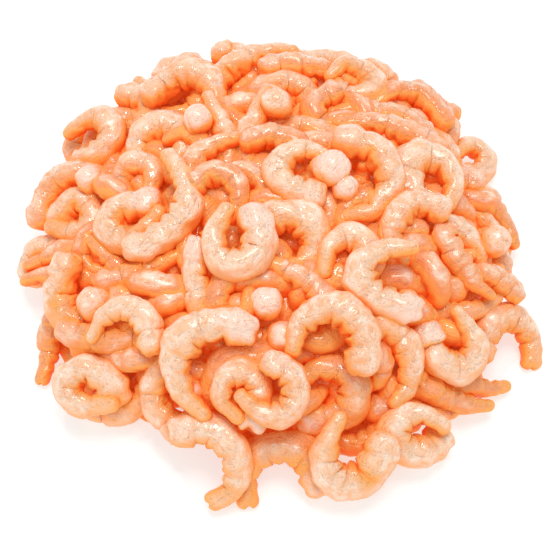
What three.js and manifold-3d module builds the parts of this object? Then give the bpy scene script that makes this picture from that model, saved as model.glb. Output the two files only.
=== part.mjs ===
// A heap of small peeled cooked shrimps, lying loose on a flat surface.
// Millimetres, +Z up. The origin is the middle of the heap's footprint, on the surface.
// Each shrimp is a tapered tube bent into a hook. The ones that show are fused to a
// low mound that stands for the shrimps buried below them.

import * as THREE from 'three';
import { mergeVertices } from 'three/addons/utils/BufferGeometryUtils.js';
import Module from 'manifold-3d';

// The mound, measured to the middle of its uppermost shrimps
const CROWN = 40;
const RIM = 4.5;
const PROFILE = 0.75;
// How far the heap reaches from its middle, every 30 degrees from +X
const REACH = [84, 81, 80, 83, 82, 82, 85, 84, 78, 80, 84, 86];

// One shrimp of size 1: length along its middle line and half thickness of its head end
const LENGTH = 32;
const GIRTH = 4.25;
const TAIL_GIRTH = 0.4;
const STATIONS = 9;

// How far one shrimp lies under the next, along the line of sight of the reference view
const LAYER = 7.5;
const SIGHT = new THREE.Vector3(0, -Math.cos(THREE.MathUtils.degToRad(58)),
  Math.sin(THREE.MathUtils.degToRad(58)));
// How much a shrimp lying flat turns from the mound's slope towards that sight
const LEAN = 0.45;
// How far a shrimp seen end on reaches down from its head along that sight
const DEEPEST = 7;

// Settling: rounds of pushing apart and sinking, how closely two bodies may press
// together, and how deep one may press into the mound, as shares of their thickness
const ROUNDS = 60;
const SQUEEZE = 0.97;
const BEDDING = 0.4;
const PUSH = 0.65;
const SINKING = 0.08;
const STIFFNESS = 0.35;
const HOMING = 0.97;

// The mound that carries the shrimps that show
const CORE_DEPTH = 8;
const CORE_INSET = 3;
const CORE_RINGS = 6;
const CORE_SIDES = 20;

// Facets of a shrimp. One that is buried deeper than this many layers is left to the mound.
const SIDES = 5;
const FULLNESS = 1.08;
const STEP = 8.4;
const BURIED = 0.5;

// Shrimps round the far foot of the heap, between these directions
const FAR_FOOT = 11;
const FAR_FROM = 24;
const FAR_TO = 152;
const FAR_INSET = 19;
const SEED = 7;

// How a shrimp lies: coiled flat on the heap, on edge with its back up,
// or with its head end towards the reference view
const FLAT = 0;
const EDGE = 1;
const END = 2;

// The shrimps that show. Each row: x, y, direction of the head end from the hook's middle
// (degrees from +X), curl (degrees, counterclockwise from head to tail), size, how it lies,
// and how many layers down.
const MIDDLE = [
  [8.5, -15.5, 165, -225, 1.4, FLAT, 0.15],
  [-9, -20, 62, -262, 1.35, FLAT, 0],
  [-21.5, -34.5, 95, 45, 1.0, FLAT, 0],
  [-21.3, -51, 30, 165, 1.4, FLAT, 0],
  [-4, -39, 100, 200, 0.85, END, 0],
  [-2, -47.5, 0, 220, 1, END, 0],
  [6, -29, 320, 50, 0.75, FLAT, 0.3],
  [18, -42.5, 304, 200, 1.35, FLAT, 0],
  [20, -58.5, 224, 250, 1.35, FLAT, 0.1],
  [-12, -56.5, 0, 130, 1.05, FLAT, 0.4],
  [-12.5, -62, 10, 110, 1, FLAT, 0.45],
  [-9, -58, 285, 290, 1.15, FLAT, 0.3],
  [1, -59.5, 100, -220, 1.05, FLAT, 0.2],
  [3, -68, 190, 150, 0.9, EDGE, 0.8],
  [-5, -31, 0, 120, 1, EDGE, 0.8],
  [-9, -37, 0, 200, 1, END, 0.9],
  [-6, -70, 120, 100, 1, EDGE, 0.9],
  [21.5, -21.5, 230, 290, 1.3, FLAT, 0.1],
  [17, -4, 90, 100, 1, EDGE, 0.7],
];
const FRONT = [
  [-12.2, -71, 153, -165, 1.2, FLAT, 0.1],
  [0, -77.5, 330, 195, 1.35, FLAT, 0.2],
  [23, -72.5, 22, -225, 1.35, FLAT, 0],
  [39.5, -65.5, 350, -280, 1.3, FLAT, 0],
  [51.5, -57, 150, 40, 0.9, FLAT, 0.05],
  [60.5, -53.5, 155, 40, 0.9, FLAT, 0.25],
  [50, -61.5, 175, 30, 1.05, EDGE, 0.3],
  [31.5, -68, 60, -140, 1.15, FLAT, 0.4],
  [-30.3, -56, 290, -140, 1.05, FLAT, 0.1],
  [-21.5, -64, 250, 200, 0.95, END, 0.1],
  [-25, -56.5, 160, 80, 1, EDGE, 0.5],
];
const RIGHT = [
  [37, -48.5, 150, -150, 1.15, FLAT, 0.15],
  [33, -53, 90, 150, 0.9, EDGE, 0.6],
  [28.5, -31.5, 318, -210, 1.25, FLAT, 0],
  [51.5, -46.5, 150, 240, 1.25, FLAT, 0.1],
  [74.5, -31.5, 215, -190, 1.2, FLAT, 0.1],
  [58, -9.5, 175, -130, 1.1, FLAT, 0.1],
  [41, -10.5, 15, 170, 1.05, FLAT, 0.5],
  [67.5, -0.5, 290, 50, 0.9, FLAT, 0.5],
  [69.5, -9, 5, 200, 1, END, 0.15],
  [65, -20.5, 335, 60, 0.7, FLAT, 0.2],
  [57, -15.5, 120, 30, 0.8, FLAT, 0.3],
  [65.5, -14, 115, -40, 0.8, FLAT, 0.25],
  [49, -24.5, 200, 160, 0.85, END, 0.3],
  [60, -25, 200, 160, 0.9, END, 0.3],
  [57, -28, 175, 50, 0.95, FLAT, 0.4],
  [44, -19, 200, 120, 1, EDGE, 0.6],
  [41, -26, 180, 100, 1, EDGE, 0.8],
];
const UPPER = [
  [-18.2, 13.5, 312, -185, 1.2, FLAT, 0],
  [-13.5, 22, 275, 30, 1.05, FLAT, 0.2],
  [-8, 22, 266, -30, 1.1, FLAT, 0.15],
  [-5.3, 0.5, 290, 130, 0.95, FLAT, 0.3],
  [7.5, 4, 312, -235, 1.15, FLAT, 0.1],
  [20.5, 2, 45, 200, 1.3, END, 0],
  [30.5, 9, 128, -165, 1.25, FLAT, 0.1],
  [26, -3, 270, 200, 1.05, END, 0.05],
  [24, -0.5, 90, 150, 0.75, END, 0.7],
  [14, 19, 0, 150, 1, FLAT, 0.5],
  [48.8, 11.5, 262, -265, 1.5, FLAT, -0.1],
  [54.5, 10.5, 0, 30, 0.9, FLAT, 0.3],
  [58, 3, 160, 100, 1, EDGE, 0.7],
  [69.5, 13, 140, -40, 0.95, FLAT, 0.15],
  [38.5, 34.5, 335, 60, 1.1, FLAT, 0.25],
  [36, 39, 340, 50, 1.1, FLAT, 0.5],
  [-19.5, 30, 120, 200, 0.95, END, 0.1],
  [8.5, 29, 335, 50, 1.05, FLAT, 0.1],
];
const LEFT = [
  [-44.5, -8.5, 45, 280, 1.35, FLAT, 0],
  [-31.5, -2, 225, 130, 1.3, FLAT, -0.1],
  [-43, 10.5, 250, -270, 1.15, FLAT, 0.2],
  [-37, 29, 322, 230, 1.35, FLAT, 0.05],
  [-53.5, 40.5, 10, 150, 1.05, FLAT, 0.35],
  [-50, 45.5, 15, 140, 0.95, FLAT, 0.4],
  [-62.5, 38.3, 318, -140, 0.95, FLAT, 0.2],
  [-64, 10.5, 232, -140, 1.1, FLAT, 0.3],
  [-62.5, 5.5, 180, -290, 1.25, FLAT, 0.2],
  [-60.5, 10.5, 90, 150, 0.75, END, 0.1],
  [-60, 19, 200, 60, 0.95, FLAT, 0.45],
  [-74.5, -10.5, 20, 290, 1.1, FLAT, 0],
  [-64, -13.5, 350, 40, 1, FLAT, 0.25],
  [-62, -19.5, 345, 40, 1, FLAT, 0.45],
  [-58, -31.5, 105, 165, 1.2, FLAT, 0.05],
  [-51.5, -38, 120, 150, 1.1, END, 0.3],
  [-41.5, -33.5, 318, 165, 0.9, FLAT, 0.55],
  [-33.5, -31.5, 185, 40, 0.9, FLAT, 0.35],
  [-40, -26, 190, 40, 0.8, FLAT, 0.5],
  [-33, -21, 130, -60, 0.8, FLAT, 0.4],
  [-51, -24, 280, 50, 0.95, FLAT, 0.4],
  [-44, -45.5, 170, 30, 1, FLAT, 0.35],
  [-69, -33.5, 68, 30, 0.85, FLAT, 0.3],
  [-52.5, -47.5, 350, 290, 1.3, FLAT, 0],
  [-42.5, -55, 200, 140, 1, FLAT, 0.3],
  [-32, -37, 200, 150, 1, EDGE, 0.8],
  [-43, -49, 180, 120, 1, EDGE, 0.8],
];
const BACK = [
  [-29, 62.5, 310, 50, 0.75, FLAT, 0],
  [-26.5, 71, 280, 190, 0.7, FLAT, 0.1],
  [-16, 67, 262, 30, 0.8, FLAT, -0.1],
  [-25.5, 46.5, 185, -170, 1.2, FLAT, 0.1],
  [-8, 62, 225, -60, 1.1, FLAT, 0.15],
  [5, 64.5, 180, -110, 0.95, FLAT, 0.35],
  [10.5, 72, 280, 230, 0.7, FLAT, 0],
  [13, 60, 180, -50, 1, FLAT, 0.15],
  [8, 44, 165, -190, 1.15, FLAT, 0.35],
  [-1, 33.5, 90, 200, 0.95, END, 0.1],
  [-12, 38, 180, 120, 1, EDGE, 0.45],
  [28.2, 54, 200, 285, 1.25, FLAT, 0.1],
  [42, 61, 320, 40, 0.9, FLAT, 0.35],
  [44.2, 43.5, 0, 200, 1.1, END, 0],
  [57.5, 40.5, 120, -110, 1.15, FLAT, 0.2],
  [54.5, 52, 45, 30, 0.75, FLAT, 0],
  [67.5, 36.5, 240, 250, 1, FLAT, 0.1],
];

const rad = THREE.MathUtils.degToRad;

// Seeded draws between 0 and 1
function draws(seed) {
  let state = seed;
  return () => {
    state = (state + 0x6D2B79F5) | 0;
    let t = Math.imul(state ^ (state >>> 15), 1 | state);
    t = (t + Math.imul(t ^ (t >>> 7), 61 | t)) ^ t;
    return ((t ^ (t >>> 14)) >>> 0) / 4294967296;
  };
}

function reach(angle) {
  const turn = 2 * Math.PI;
  const sector = (((angle % turn) + turn) % turn) / (turn / REACH.length);
  const i = Math.floor(sector) % REACH.length;
  const t = THREE.MathUtils.smoothstep(sector - Math.floor(sector), 0, 1);
  return THREE.MathUtils.lerp(REACH[i], REACH[(i + 1) % REACH.length], t);
}

// Height of the uppermost shrimps' middle lines over a point of the footprint
function height(x, y) {
  const rho = Math.hypot(x, y) / reach(Math.atan2(y, x));
  return RIM + (CROWN - RIM) * Math.max(0, 1 - rho * rho) ** PROFILE;
}

// Height of the mound that carries them
function mound(x, y) {
  const rho = Math.hypot(x, y) / (reach(Math.atan2(y, x)) - CORE_INSET);
  return (CROWN - CORE_DEPTH) * Math.max(0, 1 - rho * rho) ** PROFILE;
}

function slope(x, y) {
  const step = 4;
  return new THREE.Vector3(
    (height(x - step, y) - height(x + step, y)) / (2 * step),
    (height(x, y - step) - height(x, y + step)) / (2 * step),
    1).normalize();
}

// Half thickness at a station, from head 0 to tail 1
function girth(s, size) {
  const taper = THREE.MathUtils.smoothstep(s, 0.4, 1.1);
  const blunt = 0.12 * Math.exp(-s / 0.05);
  return GIRTH * (0.45 + 0.55 * size) * (1 - (1 - TAIL_GIRTH) * taper - blunt);
}

// The middle line in its own plane, as stations from head to tail about their middle
function hook(curl, size) {
  const fine = 90;
  const step = LENGTH * size / fine;
  const line = [[0, 0]];
  for (let k = 0; k < fine; k++) {
    const s = (k + 0.5) / fine;
    const turn = rad(curl) * (s - 0.06 * Math.sin(2 * Math.PI * s));
    const [x, y] = line[k];
    line.push([x + step * Math.cos(turn), y + step * Math.sin(turn)]);
  }
  const middle = [0, 1].map((axis) => line.reduce((sum, p) => sum + p[axis], 0) / line.length);
  const stations = [];
  for (let k = 0; k < STATIONS; k++) {
    const p = line[Math.round(k * fine / (STATIONS - 1))];
    stations.push([p[0] - middle[0], p[1] - middle[1]]);
  }
  return stations;
}

function turned(points, angle) {
  const c = Math.cos(angle);
  const s = Math.sin(angle);
  return points.map(([x, y]) => [x * c - y * s, x * s + y * c]);
}

// The stations of one shrimp where its row puts it, before settling
function place([x, y, head, curl, size, lie, down]) {
  const up = lie === END ? SIGHT.clone() : slope(x, y);
  if (lie === FLAT) {
    up.lerp(SIGHT, LEAN).normalize();
  }
  const east = new THREE.Vector3(1, 0, 0).addScaledVector(up, -up.x).normalize();
  const north = new THREE.Vector3().crossVectors(up, east);
  const ahead = east.clone().multiplyScalar(Math.cos(rad(head)));
  ahead.addScaledVector(north, Math.sin(rad(head)));
  const aside = new THREE.Vector3().crossVectors(up, ahead);
  const origin = new THREE.Vector3(x, y, height(x, y)).addScaledVector(SIGHT, -down * LAYER);

  let line = hook(curl, size);
  const last = STATIONS - 1;
  const half = last / 2;
  if (lie === FLAT) {
    line = turned(line, -Math.atan2(line[0][1], line[0][0]));
    // A coil that closes rises like a spring, so that its tail clears its head
    const rise = GIRTH * Math.max(0, Math.abs(curl) - 200) / 100;
    return line.map(([u, v], k) => origin.clone()
      .addScaledVector(ahead, u)
      .addScaledVector(aside, v)
      .addScaledVector(up, rise * (k / last - 0.5)));
  }
  let crest = [line[half][0] - (line[0][0] + line[last][0]) / 2,
    line[half][1] - (line[0][1] + line[last][1]) / 2];
  if (lie === END) {
    crest = [line[0][0] - line[3][0], line[0][1] - line[3][1]];
  }
  line = turned(line, -Math.atan2(crest[1], crest[0]));
  const top = Math.max(...line.map((p) => p[0]));
  const side = line[0][1] < line[last][1] ? -1 : 1;
  const shift = lie === END ? line[0][1] : 0;
  return line.map(([u, v]) => origin.clone()
    .addScaledVector(up, lie === END ? Math.max(u - top, -DEEPEST) : u - top)
    .addScaledVector(ahead, side * (v - shift)));
}

// The shrimps round the far foot, each curled and turned by a seeded draw
function farFoot() {
  const draw = draws(SEED);
  return Array.from({ length: FAR_FOOT }, (_, k) => {
    const angle = FAR_FROM + (FAR_TO - FAR_FROM) * (k + 0.3 + 0.4 * draw()) / FAR_FOOT;
    const out = reach(rad(angle)) - FAR_INSET + 4 * draw();
    const curl = (draw() < 0.5 ? -1 : 1) * (130 + 130 * draw());
    const head = 360 * draw();
    const size = 0.95 + 0.25 * draw();
    return [out * Math.cos(rad(angle)), out * Math.sin(rad(angle)), head, curl, size, FLAT, 0.1];
  });
}

// Pushes overlapping shrimps apart, each keeping its own shape and staying near its place
function settle(rows) {
  const home = rows.map(place);
  const now = home.map((line) => line.map((p) => p.clone()));
  const thick = rows.map((row) => Array.from({ length: STATIONS },
    (_, k) => girth(k / (STATIONS - 1), row[4])));
  const balls = rows.flatMap((_, i) => now[i].map((p, k) => ({ i, k, p, r: thick[i][k] })));
  const gap = new THREE.Vector3();
  for (let round = 0; round < ROUNDS; round++) {
    const push = balls.map(() => new THREE.Vector3());
    const hits = balls.map(() => 0);
    for (let a = 0; a < balls.length; a++) {
      for (let b = a + 1; b < balls.length; b++) {
        if (balls[a].i === balls[b].i) continue;
        const need = SQUEEZE * (balls[a].r + balls[b].r);
        gap.subVectors(balls[a].p, balls[b].p);
        const apart = gap.lengthSq();
        if (apart >= need * need) continue;
        const dist = Math.sqrt(apart) + 1e-9;
        gap.multiplyScalar(PUSH * (need - dist) / dist);
        push[a].add(gap);
        push[b].sub(gap);
        hits[a] += 1;
        hits[b] += 1;
      }
    }
    balls.forEach((ball, a) => ball.p.addScaledVector(push[a], 1 / Math.max(1, hits[a])));
    now.forEach((line, i) => {
      const offset = new THREE.Vector3();
      line.forEach((p, k) => offset.add(p).sub(home[i][k]));
      offset.multiplyScalar(HOMING / STATIONS);
      line.forEach((p, k) => {
        p.lerp(home[i][k].clone().add(offset), STIFFNESS);
        p.z = Math.max(p.z - SINKING, thick[i][k], mound(p.x, p.y) + BEDDING * thick[i][k]);
      });
    });
  }
  return now;
}

// A closed mesh as a solid
function solidOf(geometry) {
  geometry.deleteAttribute('normal');
  geometry.deleteAttribute('uv');
  const merged = mergeVertices(geometry, 1e-4);
  return new wasm.Manifold(new wasm.Mesh({
    numProp: 3,
    vertProperties: new Float32Array(merged.attributes.position.array),
    triVerts: new Uint32Array(merged.index.array),
  }));
}

// A tapered body of revolution, bent along the settled middle line. Its few corners stand
// out a little, so that its section is as full as the round one.
function shrimp(line, size) {
  const steps = Math.round(LENGTH * size / STEP);
  const profile = [new THREE.Vector2(0, 0)];
  for (let k = 0; k <= steps; k++) {
    const s = k / steps;
    profile.push(new THREE.Vector2(girth(s, size) * FULLNESS, s));
  }
  profile.push(new THREE.Vector2(0, 1));
  const geometry = new THREE.LatheGeometry(profile, SIDES);
  const curve = new THREE.CatmullRomCurve3(line);
  const frames = curve.computeFrenetFrames(steps);
  const position = geometry.attributes.position;
  for (let k = 0; k < position.count; k++) {
    const s = position.getY(k);
    const step = Math.round(s * steps);
    const point = curve.getPoint(s);
    point.addScaledVector(frames.binormals[step], position.getX(k));
    point.addScaledVector(frames.normals[step], position.getZ(k));
    position.setXYZ(k, point.x, point.y, point.z);
  }
  return solidOf(geometry);
}

// The mound itself, flat below
function core() {
  const profile = [new THREE.Vector2(0, 0)];
  for (let k = 0; k <= CORE_RINGS; k++) {
    const out = Math.cos(0.5 * Math.PI * k / CORE_RINGS);
    profile.push(new THREE.Vector2(k === CORE_RINGS ? 0 : out, 0));
  }
  const geometry = new THREE.LatheGeometry(profile, CORE_SIDES);
  geometry.rotateX(Math.PI / 2);
  const position = geometry.attributes.position;
  for (let k = 0; k < position.count; k++) {
    const x = position.getX(k);
    const y = position.getY(k);
    const wide = reach(Math.atan2(y, x)) - CORE_INSET;
    position.setXY(k, x * wide, y * wide);
    // The first point of the profile is the middle of the flat underside
    if (k % profile.length > 1) {
      position.setZ(k, mound(x * wide, y * wide));
    }
  }
  return solidOf(geometry);
}

// All that lies above the surface
function ground() {
  const box = new THREE.BoxGeometry(4 * CROWN + 2 * LENGTH, 4 * CROWN + 2 * LENGTH, 2 * CROWN);
  box.translate(0, 0, CROWN);
  return solidOf(box);
}

function meshOf(solid, material) {
  const { vertProperties, triVerts } = solid.getMesh();
  const geometry = new THREE.BufferGeometry();
  geometry.setAttribute('position', new THREE.BufferAttribute(vertProperties, 3));
  geometry.setIndex(new THREE.BufferAttribute(triVerts, 1));
  geometry.computeVertexNormals();
  return new THREE.Mesh(geometry, material);
}

const wasm = await Module();
wasm.setup();

const flesh = new THREE.MeshStandardMaterial({ color: 0xf7bd97, roughness: 0.35, metalness: 0 });

const shown = [...MIDDLE, ...FRONT, ...RIGHT, ...UPPER, ...LEFT, ...BACK, ...farFoot()];
const lines = settle(shown);
const pieces = [];
shown.forEach(([, , , , size, , down], i) => {
  if (down < BURIED) {
    pieces.push(shrimp(lines[i], size));
  }
});
const bodies = wasm.Manifold.union([core(), ...pieces]).intersect(ground()).decompose();
bodies.sort((a, b) => b.volume() - a.volume());

const heap = meshOf(bodies[0], flesh);
heap.name = 'shrimp_heap';

const part = new THREE.Group();
part.add(heap);

export default part;
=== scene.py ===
"""A heap of small peeled cooked shrimps on a bare pale surface."""
import math

import bpy
import numpy as np
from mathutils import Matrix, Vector
from mathutils.bvhtree import BVHTree


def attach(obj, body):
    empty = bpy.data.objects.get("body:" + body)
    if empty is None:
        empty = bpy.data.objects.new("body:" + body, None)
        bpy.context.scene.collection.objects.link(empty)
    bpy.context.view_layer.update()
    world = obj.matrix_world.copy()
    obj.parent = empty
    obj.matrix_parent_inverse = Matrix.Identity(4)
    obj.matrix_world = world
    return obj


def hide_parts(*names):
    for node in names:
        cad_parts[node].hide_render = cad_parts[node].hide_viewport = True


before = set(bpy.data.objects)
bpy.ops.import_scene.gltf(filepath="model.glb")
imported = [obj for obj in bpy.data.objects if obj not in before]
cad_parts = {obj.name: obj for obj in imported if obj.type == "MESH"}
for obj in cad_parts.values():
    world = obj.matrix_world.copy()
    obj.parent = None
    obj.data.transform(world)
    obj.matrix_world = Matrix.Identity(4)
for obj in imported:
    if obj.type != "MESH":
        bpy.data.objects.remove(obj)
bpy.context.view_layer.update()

NODE = "shrimp_heap"
# The heap is worked out in mm and its meshes are made in metres
MM = 0.001

# The heap, measured to the middle of its uppermost shrimps
CROWN = 40.0
RIM = 4.5
PROFILE = 0.75
# How far the heap reaches from its middle, every 30 degrees from +X
REACH = [84, 81, 80, 83, 82, 82, 85, 84, 78, 80, 84, 86]
SLOPE_STEP = 4

# One shrimp of size 1: length along its middle line and half thickness of its head end.
# Its tail is a little fuller than in the part's source.
LENGTH = 32.0
GIRTH = 4.25
TAIL_GIRTH = 0.46
STATIONS = 9
# Share of the girth that is the same at every size
SAME_GIRTH = 0.45
# Where the taper starts and how long it runs, as shares of the length
TAPER_FROM = 0.4
TAPER_RUN = 0.7
# How much narrower the tip of the head is, and over what share of the length
TIP_DIP = 0.12
TIP_RUN = 0.05
# Points of the fine line that the stations are picked from, and how unevenly it curls
FINE = 90
EASE = 0.06
# Curl past which one end climbs over the other, and the curl that adds one girth
CLOSED = 200
CLIMB = 100

# How far one shrimp lies under the next, along the camera's line of sight
LAYER = 7.5
TILT = math.radians(58)
SIGHT = np.array([0, -math.cos(TILT), math.sin(TILT)])
# How much a shrimp lying flat turns from the heap's slope towards that sight
LEAN = 0.45
# How far a shrimp seen end on reaches down from its head along that sight
DEEPEST = 7

# Settling: rounds of pushing apart and sinking, how closely two bodies may press together,
# and how deep one may press into the core, as shares of their thickness
ROUNDS = 60
SQUEEZE = 0.97
BEDDING = 0.4
PUSH = 0.65
SINKING = 0.08
STIFFNESS = 0.35
HOMING = 0.97
# Rounds from one search for neighbours to the next, and how far off one still counts
SEARCH_EVERY = 10
NEARBY = 3

# The core that carries the shrimps that show
CORE_DEPTH = 8.0
CORE_INSET = 3.0

# Seeded shrimps round the far foot of the heap, between these directions
FAR_FOOT = 11
FAR_FROM = 24
FAR_TO = 152
FAR_INSET = 19
SEED = 7

# How a shrimp lies: coiled flat on the heap, on edge with its back up,
# or with its head end towards the camera
FLAT = 0
EDGE = 1
END = 2

# The shrimps that show. Each row: x, y, direction of the head end from the hook's middle
# (degrees from +X), curl (degrees, counterclockwise from head to tail), size, how it lies,
# and how many layers down. In the part's source the seventh at the right and the seventeenth
# at the left lie deeper.
MIDDLE = [
  [8.5, -15.5, 165, -225, 1.4, FLAT, 0.15],
  [-9, -20, 62, -262, 1.35, FLAT, 0],
  [-21.5, -34.5, 95, 45, 1.0, FLAT, 0],
  [-21.3, -51, 30, 165, 1.4, FLAT, 0],
  [-4, -39, 100, 200, 0.85, END, 0],
  [-2, -47.5, 0, 220, 1, END, 0],
  [6, -29, 320, 50, 0.75, FLAT, 0.3],
  [18, -42.5, 304, 200, 1.35, FLAT, 0],
  [20, -58.5, 224, 250, 1.35, FLAT, 0.1],
  [-12, -56.5, 0, 130, 1.05, FLAT, 0.4],
  [-12.5, -62, 10, 110, 1, FLAT, 0.45],
  [-9, -58, 285, 290, 1.15, FLAT, 0.3],
  [1, -59.5, 100, -220, 1.05, FLAT, 0.2],
  [3, -68, 190, 150, 0.9, EDGE, 0.8],
  [-5, -31, 0, 120, 1, EDGE, 0.8],
  [-9, -37, 0, 200, 1, END, 0.9],
  [-6, -70, 120, 100, 1, EDGE, 0.9],
  [21.5, -21.5, 230, 290, 1.3, FLAT, 0.1],
  [17, -4, 90, 100, 1, EDGE, 0.7],
]
FRONT = [
  [-12.2, -71, 153, -165, 1.2, FLAT, 0.1],
  [0, -77.5, 330, 195, 1.35, FLAT, 0.2],
  [23, -72.5, 22, -225, 1.35, FLAT, 0],
  [39.5, -65.5, 350, -280, 1.3, FLAT, 0],
  [51.5, -57, 150, 40, 0.9, FLAT, 0.05],
  [60.5, -53.5, 155, 40, 0.9, FLAT, 0.25],
  [50, -61.5, 175, 30, 1.05, EDGE, 0.3],
  [31.5, -68, 60, -140, 1.15, FLAT, 0.4],
  [-30.3, -56, 290, -140, 1.05, FLAT, 0.1],
  [-21.5, -64, 250, 200, 0.95, END, 0.1],
  [-25, -56.5, 160, 80, 1, EDGE, 0.5],
]
RIGHT = [
  [37, -48.5, 150, -150, 1.15, FLAT, 0.15],
  [33, -53, 90, 150, 0.9, EDGE, 0.6],
  [28.5, -31.5, 318, -210, 1.25, FLAT, 0],
  [51.5, -46.5, 150, 240, 1.25, FLAT, 0.1],
  [74.5, -31.5, 215, -190, 1.2, FLAT, 0.1],
  [58, -9.5, 175, -130, 1.1, FLAT, 0.1],
  [41, -10.5, 15, 170, 1.05, FLAT, 0.3],
  [67.5, -0.5, 290, 50, 0.9, FLAT, 0.5],
  [69.5, -9, 5, 200, 1, END, 0.15],
  [65, -20.5, 335, 60, 0.7, FLAT, 0.2],
  [57, -15.5, 120, 30, 0.8, FLAT, 0.3],
  [65.5, -14, 115, -40, 0.8, FLAT, 0.25],
  [49, -24.5, 200, 160, 0.85, END, 0.3],
  [60, -25, 200, 160, 0.9, END, 0.3],
  [57, -28, 175, 50, 0.95, FLAT, 0.4],
  [44, -19, 200, 120, 1, EDGE, 0.6],
  [41, -26, 180, 100, 1, EDGE, 0.8],
]
UPPER = [
  [-18.2, 13.5, 312, -185, 1.2, FLAT, 0],
  [-13.5, 22, 275, 30, 1.05, FLAT, 0.2],
  [-8, 22, 266, -30, 1.1, FLAT, 0.15],
  [-5.3, 0.5, 290, 130, 0.95, FLAT, 0.3],
  [7.5, 4, 312, -235, 1.15, FLAT, 0.1],
  [20.5, 2, 45, 200, 1.3, END, 0],
  [30.5, 9, 128, -165, 1.25, FLAT, 0.1],
  [26, -3, 270, 200, 1.05, END, 0.05],
  [24, -0.5, 90, 150, 0.75, END, 0.7],
  [14, 19, 0, 150, 1, FLAT, 0.5],
  [48.8, 11.5, 262, -265, 1.5, FLAT, -0.1],
  [54.5, 10.5, 0, 30, 0.9, FLAT, 0.3],
  [58, 3, 160, 100, 1, EDGE, 0.7],
  [69.5, 13, 140, -40, 0.95, FLAT, 0.15],
  [38.5, 34.5, 335, 60, 1.1, FLAT, 0.25],
  [36, 39, 340, 50, 1.1, FLAT, 0.5],
  [-19.5, 30, 120, 200, 0.95, END, 0.1],
  [8.5, 29, 335, 50, 1.05, FLAT, 0.1],
]
LEFT = [
  [-44.5, -8.5, 45, 280, 1.35, FLAT, 0],
  [-31.5, -2, 225, 130, 1.3, FLAT, -0.1],
  [-43, 10.5, 250, -270, 1.15, FLAT, 0.2],
  [-37, 29, 322, 230, 1.35, FLAT, 0.05],
  [-53.5, 40.5, 10, 150, 1.05, FLAT, 0.35],
  [-50, 45.5, 15, 140, 0.95, FLAT, 0.4],
  [-62.5, 38.3, 318, -140, 0.95, FLAT, 0.2],
  [-64, 10.5, 232, -140, 1.1, FLAT, 0.3],
  [-62.5, 5.5, 180, -290, 1.25, FLAT, 0.2],
  [-60.5, 10.5, 90, 150, 0.75, END, 0.1],
  [-60, 19, 200, 60, 0.95, FLAT, 0.45],
  [-74.5, -10.5, 20, 290, 1.1, FLAT, 0],
  [-64, -13.5, 350, 40, 1, FLAT, 0.25],
  [-62, -19.5, 345, 40, 1, FLAT, 0.45],
  [-58, -31.5, 105, 165, 1.2, FLAT, 0.05],
  [-51.5, -38, 120, 150, 1.1, END, 0.3],
  [-41.5, -35.5, 318, 165, 0.95, FLAT, 0.15],
  [-33.5, -31.5, 185, 40, 0.9, FLAT, 0.35],
  [-40, -26, 190, 40, 0.8, FLAT, 0.5],
  [-33, -21, 130, -60, 0.8, FLAT, 0.4],
  [-51, -24, 280, 50, 0.95, FLAT, 0.4],
  [-44, -45.5, 170, 30, 1, FLAT, 0.35],
  [-69, -33.5, 68, 30, 0.85, FLAT, 0.3],
  [-52.5, -47.5, 350, 290, 1.3, FLAT, 0],
  [-42.5, -55, 200, 140, 1, FLAT, 0.3],
  [-32, -37, 200, 150, 1, EDGE, 0.8],
  [-43, -49, 180, 120, 1, EDGE, 0.8],
]
BACK = [
  [-29, 62.5, 310, 50, 0.75, FLAT, 0],
  [-26.5, 71, 280, 190, 0.7, FLAT, 0.1],
  [-16, 67, 262, 30, 0.8, FLAT, -0.1],
  [-25.5, 46.5, 185, -170, 1.2, FLAT, 0.1],
  [-8, 62, 225, -60, 1.1, FLAT, 0.15],
  [5, 64.5, 180, -110, 0.95, FLAT, 0.35],
  [10.5, 72, 280, 230, 0.7, FLAT, 0],
  [13, 60, 180, -50, 1, FLAT, 0.15],
  [8, 44, 165, -190, 1.15, FLAT, 0.35],
  [-1, 33.5, 90, 200, 0.95, END, 0.1],
  [-12, 38, 180, 120, 1, EDGE, 0.45],
  [28.2, 54, 200, 285, 1.25, FLAT, 0.1],
  [42, 61, 320, 40, 0.9, FLAT, 0.35],
  [44.2, 43.5, 0, 200, 1.1, END, 0],
  [57.5, 40.5, 120, -110, 1.15, FLAT, 0.2],
  [54.5, 52, 45, 30, 0.75, FLAT, 0],
  [67.5, 36.5, 240, 250, 1, FLAT, 0.1],
]


def draws(seed):
    """A repeatable stream of numbers from 0 to 1, the same as in the part's source."""
    state = [seed]
    whole = 0xFFFFFFFF

    def draw():
        state[0] = (state[0] + 0x6D2B79F5) & whole
        a = state[0]
        t = ((a ^ (a >> 15)) * (1 | a)) & whole
        t = ((t + (((t ^ (t >> 7)) * (61 | t)) & whole)) & whole) ^ t
        return (t ^ (t >> 14)) / (whole + 1)

    return draw


def smooth(x):
    """An S curve from 0 at 0 to 1 at 1."""
    x = np.clip(x, 0, 1)
    return x * x * (3 - 2 * x)


def hump(s, spot, run):
    """A bell of height 1 about a spot."""
    return np.exp(-((s - spot) / run) ** 2)


def fading(distance, run):
    """1 up to an end of a shrimp, fading past it, one value a ring."""
    return np.exp(-np.clip(distance, 0, None) / run)[:, None]


def reach(angle):
    """How far the heap goes out at an angle in radians."""
    sector = np.mod(angle, 2 * math.pi) / (2 * math.pi / len(REACH))
    i = np.floor(sector).astype(int) % len(REACH)
    t = smooth(sector - np.floor(sector))
    table = np.array(REACH, float)
    return table[i] + (table[(i + 1) % len(REACH)] - table[i]) * t


def height(x, y):
    """Height of the uppermost shrimps' middle lines over a point."""
    rho = np.hypot(x, y) / reach(np.arctan2(y, x))
    return RIM + (CROWN - RIM) * np.maximum(0, 1 - rho * rho) ** PROFILE


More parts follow.
